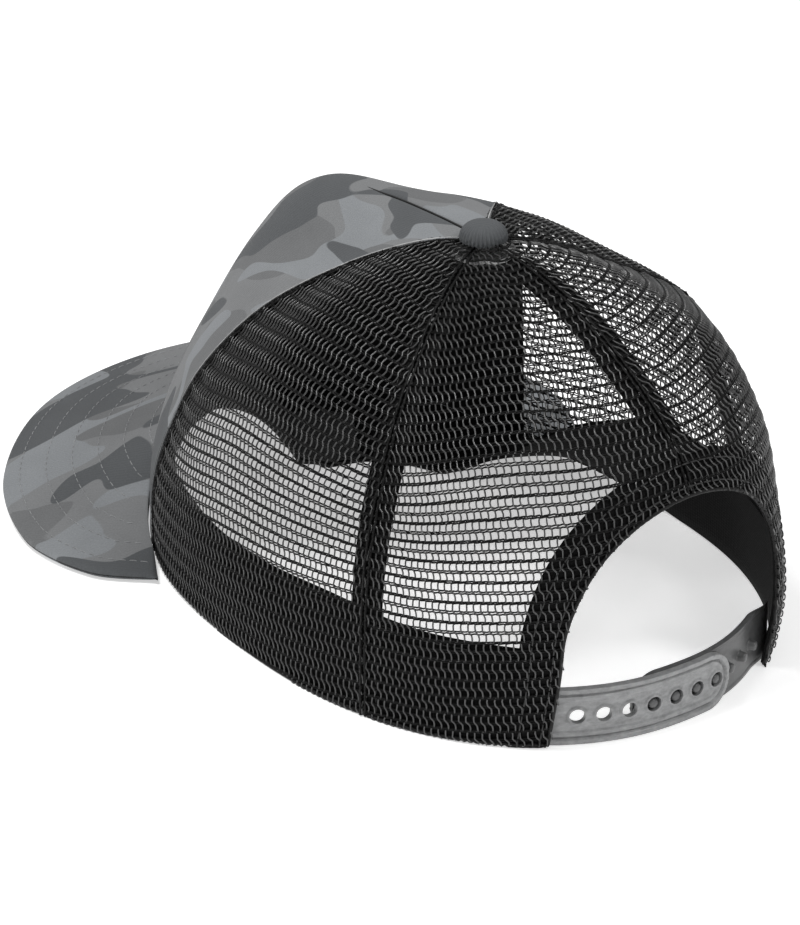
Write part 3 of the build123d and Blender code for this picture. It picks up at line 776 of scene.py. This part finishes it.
class NetPanel:
    """Knitted netting of one panel: pairs of yarns round the cap, joined by zigzag ties."""

    def __init__(self, centre, start, end, grain, cut_arch):
        self.centre, self.start, self.end, self.cut_arch = centre, start, end, cut_arch
        self.grain = math.radians(grain)
        self.climbs = np.linspace(0, crown.climb_for_radius(centre, 5.0), 240)
        spine = crown.at(np.full(240, float(centre)), self.climbs)
        self.rise = run_length(spine)
        self.ties, self.yarns = [], []

    def lay(self, u, w, stand, radius, sides=4):
        """Tubes along paths given flat on the panel, kept where their middle lies on it."""
        flat_u = u * math.cos(self.grain) - w * math.sin(self.grain)
        flat_w = u * math.sin(self.grain) + w * math.cos(self.grain)
        climb = np.interp(flat_w, self.rise, self.climbs)
        azimuth = crown.azimuth_for_arc(np.full(climb.shape, float(self.centre)), climb, flat_u)
        middle = u.shape[1] // 2
        keep = (azimuth[:, middle] > self.start) & (azimuth[:, middle] < self.end)
        keep &= (flat_w[:, middle] > -0.2) & (flat_w[:, middle] < self.rise[-1])
        azimuth = np.clip(azimuth, self.start + 0.15, self.end - 0.15)
        points = crown.at(azimuth, climb, 0.55 - stand)
        if self.cut_arch:
            points, outside = outside_arch(points)
            keep &= outside[:, middle]
        points[..., 2] = np.maximum(points[..., 2], radius + 0.05)
        normals = crown.normal(azimuth, climb)
        return tubes(points[keep], normals[keep], radius, sides)

    def knit(self):
        reach = 78.0
        rows = np.arange(int(-24 / NET_ROW), int((self.rise[-1] + 24) / NET_ROW))
        columns = np.arange(int(-reach / NET_PITCH), int(reach / NET_PITCH))
        column, row = [grid.ravel().astype(float) for grid in np.meshgrid(columns, rows)]
        sway = 0.3 * np.sin(column * 0.23 + row * 0.11)
        along = np.linspace(0, 1, 4)
        for first, pairs in ((0, CLOSE_ROW), (1, OPEN_ROW)):
            chosen = rows_of(row, first)
            u = (column[chosen][:, None] + along) * NET_PITCH
            w = row[chosen][:, None] * NET_ROW + sway[chosen][:, None]
            for height, stand in pairs:
                wave = 0.1 * np.sin(2 * np.pi * along + height * 9)
                slack = RANDOM.normal(0, 0.05, (len(u), 1))
                stands = stand + 0.06 * np.cos(2 * np.pi * along) + 0 * u
                self.yarns.append(self.lay(u, w + height + wave + slack, stands, YARN_RADIUS))
        path = np.array(TIE_PATH)
        chosen = rows_of(row, 0)
        slack = RANDOM.normal(0, 0.06, (int(chosen.sum()), len(path)))
        u = column[chosen][:, None] * NET_PITCH + path[:, 0] * NET_SHIFT + slack
        w = (row[chosen][:, None] + path[:, 1]) * NET_ROW + sway[chosen][:, None]
        for first, last in ((0, 3), (2, 5), (4, 7)):
            part = slice(first, last)
            stands = path[part, 2] + 0 * u[:, part]
            self.ties.append(self.lay(u[:, part], w[:, part], stands, TIE_RADIUS, 5))


def rows_of(row, first):
    """Which rows are even (first 0) or odd (first 1)."""
    return np.mod(row, 2) == first


def net_panel(name, panel, tie_painted_highlight_material, yarn_material, node):
    panel.knit()
    # The ties take the lighter thread, whose grey is a painted highlight.
    ties = mesh_object(f"{name}_ties", *add_meshes(panel.ties), None, tie_painted_highlight_material)
    finish_piece(ties, "netting", node)
    yarns = mesh_object(f"{name}_yarns", *add_meshes(panel.yarns), None, yarn_material)
    finish_piece(yarns, "netting")


def outside_arch(points):
    """Move points that fall in the rear opening to its edge, and say which were outside it."""
    x, z = points[..., 0], points[..., 2]
    above = z > ARCH_SPRING
    distance = np.where(above, np.hypot(x, z - ARCH_SPRING), np.abs(x))
    outside = distance > ARCH_HALF_WIDTH
    factor = np.where(outside | (points[..., 1] < 0), 1.0, ARCH_HALF_WIDTH / np.maximum(distance, 1e-6))
    moved = points.copy()
    moved[..., 0] = x * factor
    moved[..., 2] = np.where(above, ARCH_SPRING + (z - ARCH_SPRING) * factor, z)
    return moved, outside | (points[..., 1] < 0)


def seam_ridge(name, azimuth, low, material):
    """Netting turned under and sewn along a seam: two bumpy rolls side by side."""
    climbs = np.linspace(low, crown.climb_for_radius(azimuth, UNDER_BUTTON), 420)
    for side in (-1, 1):
        arc = RIDGE_SPREAD * side + RANDOM.normal(0, 0.12, 420)
        line = crown.azimuth_for_arc(np.full(420, float(azimuth)), climbs, arc)
        depth = 0.25 + RANDOM.normal(0, 0.1, 420)
        points = crown.at(line, climbs, depth)
        points[:, 2] = np.maximum(points[:, 2], 0.5)
        word = "a" if side < 0 else "b"
        long_tube(f"{name}_{word}", points, crown.normal(line, climbs), RIDGE_RADIUS, 5, material)


def make_netting(net, yarn):
    arch_top = float(crown.climb_for_height(180.0, ARCH_SPRING + ARCH_HALF_WIDTH))
    for name, azimuth in (("side", SIDE_SEAM), ("front", FRONT_SEAM + 1.4)):
        for side, sign in (("left", 1), ("right", -1)):
            seam_ridge(f"seam_{name}_{side}", sign * azimuth, 0.0, yarn)
    seam_ridge("seam_rear", 180, arch_top + 0.006, yarn)
    for side, sign in (("left", 1), ("right", -1)):
        for word, start, end, centre, grain in (("side", FRONT_SEAM, SIDE_SEAM, 86.5, 4.0),
                                                ("rear", SIDE_SEAM, 180, 148.0, 5.0)):
            low, high = sorted((sign * start, sign * end))
            panel = NetPanel(sign * centre, low, high, sign * grain, cut_arch=word == "rear")
            # net is the tie thread, lightened as a painted highlight.
            net_panel(f"{word}_net_{side}", panel, net, yarn, f"{word}_mesh_{side}")


# ---------------------------------------------------------------- visor

VISOR_HALF_OUTLINE = [(0, -171), (46, -160), (81, -127), (94.5, -91), (89.5, -62.5), (75, -47)]
VISOR_TIP_HEIGHT = 5.2
VISOR_FLAT_Y = -90.0
VISOR_ROOT_AZIMUTH = 61.0
VISOR_BASE = 1.9           # middle of the visor's thickness above the rim plane, at its edge
VISOR_HALF_THICKNESS = 1.55
VISOR_ROWS = 6
VISOR_FIRST_ROW, VISOR_ROW_PITCH = 6.0, 8.5


class Visor:
    """Middle surface of the visor: straight lines from the rim to the outer edge."""

    def __init__(self, columns=181):
        self.u = np.linspace(-1, 1, columns)
        rim = crown.at(self.u * VISOR_ROOT_AZIMUTH, np.zeros(columns), -0.4)
        rim[:, 2] = np.maximum(rim[:, 2] + 1.0, VISOR_BASE)
        half = np.array(VISOR_HALF_OUTLINE, float)
        outline = np.concatenate([half[:0:-1] * (-1, 1), half])
        distance = run_length(outline)
        edge = hermite(distance, outline, np.linspace(0, distance[-1], columns))
        rise = np.clip((VISOR_FLAT_Y - edge[:, 1]) / (VISOR_FLAT_Y - half[0, 1]), 0, 1)
        self.inner = rim
        self.outer = np.column_stack([edge, VISOR_BASE + VISOR_TIP_HEIGHT * rise])

    def middle(self, v):
        """Points for shares from the rim (0) to the edge (1)."""
        v = np.asarray(v)[:, None, None]
        return self.inner * (1 - v) + self.outer * v

    def normals(self, points):
        across = np.gradient(points, axis=1)
        along = np.gradient(points, axis=0)
        normal = np.cross(across, along)
        normal *= np.sign(normal[..., 2:3])
        return normal / np.linalg.norm(normal, axis=2, keepdims=True)

    def half_thickness(self):
        """The visor thins to a quarter of its thickness at its two roots."""
        near_end = np.clip((1 - np.abs(self.u)) / 0.06, 0, 1)
        return VISOR_HALF_THICKNESS * (0.25 + 0.75 * np.sqrt(1 - (1 - near_end) ** 2))


def visor_sheet(visor, side, inset, rows=48):
    """Half of the visor's skin, rolled round the edge to the middle of its thickness."""
    shares = np.linspace(0, 1, rows)
    middle = visor.middle(shares)
    normal = visor.normals(middle)
    half = (visor.half_thickness() - inset)[None, :, None]
    edge, edge_normal = middle[-1], normal[-1]
    along = np.gradient(edge, axis=0)
    outward = np.cross(along, edge_normal)
    outward /= np.linalg.norm(outward, axis=1, keepdims=True)
    outward *= np.sign(np.sum(outward * (edge - middle[-2]), axis=1, keepdims=True))
    pulled = middle - outward[None] * (half * (shares**8)[:, None, None])
    sheet = pulled + side * half * normal
    turn = np.radians(np.linspace(72, 0, 5))
    rolled = [pulled[-1] + half[0] * (outward * math.cos(t) + side * edge_normal * math.sin(t)) for t in turn]
    return np.concatenate([sheet, np.array(rolled)])


def visor_object(name, points, flip, material):
    uvs = points[..., :2] - (0, TOP_Y)
    return grid_object(name, points, uvs, material, flip)


def make_visor(camo, board_material, thread):
    visor = Visor()
    for word, side in (("top", 1), ("under", -1)):
        thing = visor_object(f"visor_{word}", visor_sheet(visor, side, 0.0), side > 0, camo)
        thicken(thing, 0.5, soft_edge=0)
        finish_piece(thing, "camo_twill", f"visor_{word}_fabric")
    top, under = [visor_sheet(visor, side, 0.75) for side in (1, -1)]
    loop = np.concatenate([top, under[-2::-1]])
    finish_piece(visor_object("visor_stiffener", loop, True, board_material), "visor_board", "visor_board")
    make_visor_stitches(visor, thread)


def make_visor_stitches(visor, thread):
    """Rows of stitching that follow the outer edge, on both faces."""
    shares = np.linspace(0, 1, 120)
    middle = visor.middle(shares)
    normal = visor.normals(middle)
    distance = edge_distance(middle, visor.outer)
    for side, word in ((1, "top"), (-1, "under")):
        lifted = middle + normal * (visor.half_thickness()[None, :, None] * side)
        rows = []
        for number in range(VISOR_ROWS):
            wanted = VISOR_FIRST_ROW + number * VISOR_ROW_PITCH
            line, ups = level_line(distance, lifted, normal * side, wanted)
            if len(line) >= 8:
                rows.append(stitches(line, ups, 2.4, 0.9, 0.17, proud=0.4))
        thing = mesh_object(f"visor_stitches_{word}", *add_meshes(rows), None, thread)
        finish_piece(thing, "camo_twill")


def edge_distance(points, edge):
    """Distance of each visor point from the outer edge."""
    flat = points.reshape(-1, 3)
    best = np.full(len(flat), 1e9)
    for piece in np.array_split(np.arange(len(edge)), 12):
        gap = np.linalg.norm(flat[:, None] - edge[piece][None], axis=2).min(1)
        best = np.minimum(best, gap)
    return best.reshape(points.shape[:2])


def level_line(distance, points, normals, wanted):
    """Points where each column first comes as near the edge as wanted."""
    line, ups = [], []
    for column in range(points.shape[1]):
        profile = distance[:, column]
        inside = np.nonzero(profile > wanted)[0]
        if len(inside) == 0 or inside[-1] >= len(profile) - 1:
            continue
        row = inside[-1]
        share = (profile[row] - wanted) / (profile[row] - profile[row + 1] + 1e-9)
        line.append(points[row, column] * (1 - share) + points[row + 1, column] * share)
        ups.append(normals[row, column])
    return np.array(line), np.array(ups)


# ---------------------------------------------------------------- button

BUTTON_RADIUS = 6.6
BUTTON_HEIGHT = 4.6
BUTTON_PLEATS = 34
PLEAT_DEPTH = 0.3


def make_button(camo, metal):
    rings, around = 26, 184
    turn = np.linspace(0, 2 * np.pi, around + 1)[None]
    lift = np.linspace(-0.1, 1, rings)[:, None] * np.pi / 2
    pleat = PLEAT_DEPTH * np.cos(turn * BUTTON_PLEATS) * np.cos(lift) ** 0.7
    radius = (BUTTON_RADIUS + pleat) * np.cos(lift) ** 0.75
    x = radius * np.sin(turn)
    y = TOP_Y - radius * np.cos(turn)
    z = TOP_Z + 0.2 + BUTTON_HEIGHT * np.sin(lift) + 0 * turn
    points = np.stack([x, y, z], -1)
    uvs = np.stack([x + 0 * z, y - TOP_Y + z - TOP_Z], -1)
    thing = grid_object("button_cloth", points, uvs, camo)
    finish_piece(thing, "camo_twill", "button_cover")
    for node in ("button_shell", "button_washer"):
        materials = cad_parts[node].data.materials
        materials.clear()
        materials.append(metal)


# ---------------------------------------------------------------- snap closure

STRAP_BOTTOM, STRAP_TOP = 0.2, 17.2
STRAP_MIDDLE, STRAP_HALF = (STRAP_TOP + STRAP_BOTTOM) / 2, (STRAP_TOP - STRAP_BOTTOM) / 2
STRAP_CORNER = STRAP_HALF * 0.96
STRAP_THICKNESS = 1.4
HOLES_DEPTH, PEGS_DEPTH = 2.1, 3.9
STRAP_BOW, STRAP_BOW_SPREAD = 1.8, 30.0
FIRST_SNAP_X, SNAP_PITCH, SNAP_COUNT, FREE_PEGS = 31.2, 7.4, 7, 3
HOLE_RADIUS = 2.2
# Each peg from its foot to its tip: radius, distance out from the strap.
PEG_PROFILE = [(1.9, -0.1), (1.62, 0.1), (1.5, 0.35), (1.38, 1.75), (1.2, 2.1), (0.8, 2.28), (0.0, 2.3)]
HOLES_END, PEGS_END = 5.2, 5.6         # strap beyond its last hole or peg
HOLES_HINGE_X, PEGS_HINGE_X, HINGE_Z = 21.2, -36.6, 8.0
STRAP_ROOT_AZIMUTH = 146.5
SEWN_DEPTH = 2.0           # both straps come this near the netting where they are sewn
STRAP_CELL = 0.3


class StrapLine:
    """Upright plan curve of the straps, measured in millimetres from the middle of the back."""

    def __init__(self):
        self.azimuth = np.arange(140, 220, 0.1)
        points = self.plan(self.azimuth, HOLES_DEPTH)
        length = run_length(points)
        self.length = length - np.interp(180, self.azimuth, length)

    def plan(self, azimuth, inset):
        x, y = rim_plan(azimuth)
        ahead, behind = np.array(rim_plan(azimuth + 0.5)), np.array(rim_plan(azimuth - 0.5))
        along = ahead - behind
        inward = np.stack([-along[1], along[0]]) / np.linalg.norm(along, axis=0)
        share = np.minimum(np.abs(azimuth - 180) / STRAP_BOW_SPREAD, 1)
        inset = inset - (inset - SEWN_DEPTH) * smooth_step(np.abs(azimuth - 180), 24, 32)
        inset = inset - STRAP_BOW * np.cos(share * np.pi / 2) ** 2
        return np.stack([x + inward[0] * inset, y + inward[1] * inset], -1)

    def at(self, length, height, inset):
        azimuth = np.interp(length, self.length, self.azimuth)
        return np.concatenate([self.plan(azimuth, inset), height[..., None]], -1)

    def length_at_azimuth(self, azimuth):
        return float(np.interp(azimuth, self.azimuth, self.length))

    def length_at_x(self, x):
        side = math.copysign((abs(x) / RIM_HALF_WIDTH) ** (RIM_POWER / 2), x)
        return self.length_at_azimuth(180 - math.degrees(math.asin(side)))


def pull_to_circle(s, z, centre, radius, within=True):
    """Move the grid points beside a circle onto it.  Also say which others lie outside and inside."""
    out = np.hypot(s - centre, z - STRAP_MIDDLE) - radius
    near = within & (np.abs(out) < STRAP_CELL * 0.75)
    factor = np.where(near, radius / np.maximum(out + radius, 1e-6), 1.0)
    moved = centre + (s - centre) * factor, STRAP_MIDDLE + (z - STRAP_MIDDLE) * factor
    return *moved, within & (out > 0) & ~near, within & (out < 0) & ~near


def moulded_strap(line, start, end, inset, relief, holes, rounded_end):
    """Closed strap from a fine grid, with its holes and outline cut along grid points."""
    lengths = np.arange(start, end + STRAP_CELL / 2, STRAP_CELL)
    heights = np.linspace(STRAP_BOTTOM, STRAP_TOP, 58)
    s, z = np.meshgrid(lengths, heights)
    end_s, sign = rounded_end
    corner_s = end_s - sign * STRAP_CORNER
    s, z, bad, _ = pull_to_circle(s, z, corner_s, STRAP_HALF, (s - corner_s) * sign > 0)
    for hole in holes:
        s, z, _, cut = pull_to_circle(s, z, hole, HOLE_RADIUS)
        bad = bad | cut
    keep = ~(bad[:-1, :-1] | bad[1:, :-1] | bad[:-1, 1:] | bad[1:, 1:])
    front = line.at(s, z, inset - relief(s, z))
    back = line.at(s, z, inset + STRAP_THICKNESS)
    rows, columns = s.shape
    index = np.arange(rows * columns).reshape(rows, columns)
    quad = np.stack([index[:-1, :-1], index[1:, :-1], index[1:, 1:], index[:-1, 1:]], -1)[keep]
    total = rows * columns
    edges = np.concatenate([quad[:, [side, (side + 1) % 4]] for side in range(4)])
    shared = np.isin(edges[:, 0] * total + edges[:, 1], edges[:, 1] * total + edges[:, 0])
    first, second = edges[~shared].T
    rim = np.column_stack([second, first, first + total, second + total])
    faces = np.concatenate([quad, quad[:, ::-1] + total, rim])
    points = np.concatenate([front.reshape(-1, 3), back.reshape(-1, 3)])
    used, compact = np.unique(faces, return_inverse=True)
    return points[used], compact.reshape(faces.shape)


def peg_mesh(line, length, inset):
    """Peg with a rounded tip, standing outwards on its strap."""
    sides = 20
    base = line.at(np.array(length), np.array(STRAP_MIDDLE), inset)
    ahead = line.at(np.array(length + 0.5), np.array(STRAP_MIDDLE), inset)
    along = (ahead - base) / np.linalg.norm(ahead - base)
    outward = np.cross(along, (0, 0, 1.0))
    outward *= np.sign(outward[1])
    angle = 2 * np.pi * np.arange(sides + 1) / sides
    ring = along * np.cos(angle)[:, None] + np.array([0, 0, 1.0]) * np.sin(angle)[:, None]
    points = np.array([base + outward * height + radius * ring for radius, height in PEG_PROFILE])
    return points.reshape(-1, 3), grid_faces(len(PEG_PROFILE), sides + 1)


def make_straps(plastic, painted_shade_plastic):
    line = StrapLine()
    first = line.length_at_x(FIRST_SNAP_X)
    holes = [first + i * SNAP_PITCH for i in range(SNAP_COUNT)]
    pegs = [first + (i + FREE_PEGS) * SNAP_PITCH for i in range(SNAP_COUNT)]
    holes_end = holes[-1] + HOLES_END

    def holes_relief(s, z):
        """Lip round the outline, a groove and a low step inside it, and a ring round each hole."""
        beyond_corner = np.maximum(s - (holes_end - STRAP_CORNER), 0)
        inside = STRAP_HALF - np.hypot(beyond_corner, z - STRAP_MIDDLE)
        lip = 0.65 * (1 - smooth_step(inside, 1.35, 1.6))
        groove = -0.3 * smooth_step(inside, 1.5, 1.8) * (1 - smooth_step(inside, 2.0, 2.3))
        step = 0.3 * smooth_step(inside, 2.0, 2.3) * (1 - smooth_step(inside, 3.6, 3.85))
        ring = np.zeros_like(s)
        for hole in holes:
            distance = np.hypot(s - hole, z - STRAP_MIDDLE) - HOLE_RADIUS
            ring = np.maximum(ring, 0.42 * (1 - smooth_step(distance, 0.5, 0.8)))
        return np.maximum(lip, ring) + groove + step

    def pegs_relief(_, z):
        """Low lip along both edges."""
        return 0.25 * (1 - smooth_step(STRAP_HALF - np.abs(z - STRAP_MIDDLE), 0.9, 1.2))

    root = line.length_at_azimuth(STRAP_ROOT_AZIMUTH)
    mesh = moulded_strap(line, root, holes_end, HOLES_DEPTH, holes_relief, holes, (holes_end, 1))
    strap = mesh_object("strap_with_holes", *mesh, None, plastic)
    finish_strap(strap, "holes", line, HOLES_HINGE_X, HOLES_DEPTH)
    root = line.length_at_azimuth(360 - STRAP_ROOT_AZIMUTH)
    free = pegs[0] - PEGS_END
    mesh = moulded_strap(line, free, root, PEGS_DEPTH, pegs_relief, [], (free, -1))
    parts = [mesh] + [peg_mesh(line, peg, PEGS_DEPTH) for peg in pegs]
    # The strap with pegs takes the darker copy of the plastic, painted shade for the far side.
    strap = mesh_object("strap_with_pegs", *add_meshes(parts), None, painted_shade_plastic)
    finish_strap(strap, "pegs", line, PEGS_HINGE_X, PEGS_DEPTH)


def finish_strap(strap, word, line, hinge_x, depth):
    """Soften the moulded edges and hide the CAD strap parts."""
    soften(strap, 0.18, 50)
    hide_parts(f"strap_{word}_root", f"strap_{word}_tongue")
    bend = line.at(np.array(line.length_at_x(hinge_x)), np.array(HINGE_Z), depth + STRAP_THICKNESS / 2)
    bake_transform(strap)


# ---------------------------------------------------------------- the cap

make_camera()
make_studio()
CAMO = camo_material("camo_twill", stretch=(1.7, 1.0, 1.0))
CAMO_VISOR = camo_material("camo_twill_visor", offset=(90, 260, 0), stretch=(0.8, 1.5, 1.0))
CAMO_BUTTON = camo_material("camo_twill_button", offset=(37, 11, 0))
# The ties' lighter grey is a painted highlight: the real ties are as black as the yarns.
TIE_PAINTED_HIGHLIGHT = thread_material("netting_tie_painted_highlight", grey(0.032), 0.3, gloss=1.0)
NET_YARN = thread_material("netting_yarn", grey(0.002), 0.5, gloss=0.2)
NET_EDGE = thread_material("netting_edge", grey(0.004), 0.6, gloss=0.3)
SEWING = thread_material("black_sewing_thread", grey(0.008), 0.5)
VISOR_SEWING = thread_material("grey_sewing_thread", grey(0.24, 0.02), 0.6, 0.2)
RAW_EDGE = thread_material("cut_cloth_edge", grey(0.42), 0.8, 0.2)
TAPE = woven_black_material("black_tape", 0.0025)
BAND = woven_black_material("sweatband_cotton", 0.003, 1.0, 0.9)
LINING = woven_black_material("stiff_lining", 0.003, 0.7, 0.85)
LABEL = woven_black_material("label_weave", 0.045, 2.0, 0.7)
BOARD = woven_black_material("visor_board", 0.03, 0.3, 0.6)
PLASTIC = plastic_material("strap_plastic", 0.17, 0.37)
# The far strap's darker grey is painted shade: both straps are the same plastic.
PAINTED_SHADE_PLASTIC = plastic_material("strap_plastic_painted_shade", 0.06, 0.13)

make_front_panel(CAMO, LINING, SEWING, RAW_EDGE)
make_netting(TIE_PAINTED_HIGHLIGHT, NET_YARN)
make_tapes(TAPE, SEWING)
make_sweatband(BAND, LABEL, SEWING)
make_hem(NET_EDGE)
make_arch(TAPE, SEWING, NET_EDGE)
make_visor(CAMO_VISOR, BOARD, VISOR_SEWING)
make_button(CAMO_BUTTON, metal_material())
make_straps(PLASTIC, PAINTED_SHADE_PLASTIC)
